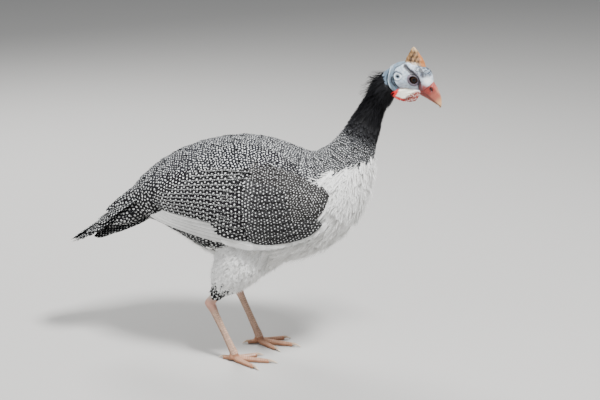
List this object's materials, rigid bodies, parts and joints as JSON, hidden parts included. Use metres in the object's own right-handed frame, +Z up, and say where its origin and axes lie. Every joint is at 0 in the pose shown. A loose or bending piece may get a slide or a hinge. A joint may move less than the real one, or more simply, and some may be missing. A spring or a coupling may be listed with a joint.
{
  "type": "guinea fowl",
  "caption": "Life-size still model of a pied helmeted guinea fowl standing with folded wings: pearl-spotted dark plumage, white breast and thighs, bare face, horn helmet, wattles.",
  "frame": {"origin": "on the floor under the middle of the bird's own box", "axes": "+X forwards, the way the bill points; +Y to the bird's left; +Z up"},
  "size_m": [0.4928, 0.1574, 0.422],
  "materials": {
    "pearl_plumage": "dark slate feathers with round white pearls",
    "wing_plumage": "white outer feathers, dark pearled inner feathers",
    "neck_plumage": "black hair-like feathers above fine grey speckle",
    "white_plumage": "soft white feathers",
    "face_skin": "bare pale blue-grey skin, finely folded",
    "wattle_skin": "bare red and whitish skin",
    "bill_horn": "horn, red at the root and pale at the tip",
    "helmet_horn": "dull tan horn with darker streaks",
    "eye": "wet dark brown",
    "leg_scales": "pink to orange-brown scaled skin",
    "claw_horn": "pale horn"
  },
  "bodies": {
    "root": {"torso": "pearl_plumage", "neck_lower": "neck_plumage", "neck_upper": "neck_plumage", "head": "face_skin", "helmet": "helmet_horn", "bill_upper": "bill_horn", "bill_lower": "bill_horn", "eye_left": "eye", "eye_right": "eye", "wattle_left": "wattle_skin", "wattle_right": "wattle_skin", "tail": "pearl_plumage", "wing_left": "wing_plumage", "wing_right": "wing_plumage", "thigh_left": "white_plumage", "thigh_right": "white_plumage", "shank_left": "leg_scales", "shank_right": "leg_scales", "foot_left": "leg_scales", "foot_right": "leg_scales", "claw_inner_left": "claw_horn", "claw_middle_left": "claw_horn", "claw_outer_left": "claw_horn", "claw_hind_left": "claw_horn", "claw_inner_right": "claw_horn", "claw_middle_right": "claw_horn", "claw_outer_right": "claw_horn", "claw_hind_right": "claw_horn"}
  },
  "joints": []
}
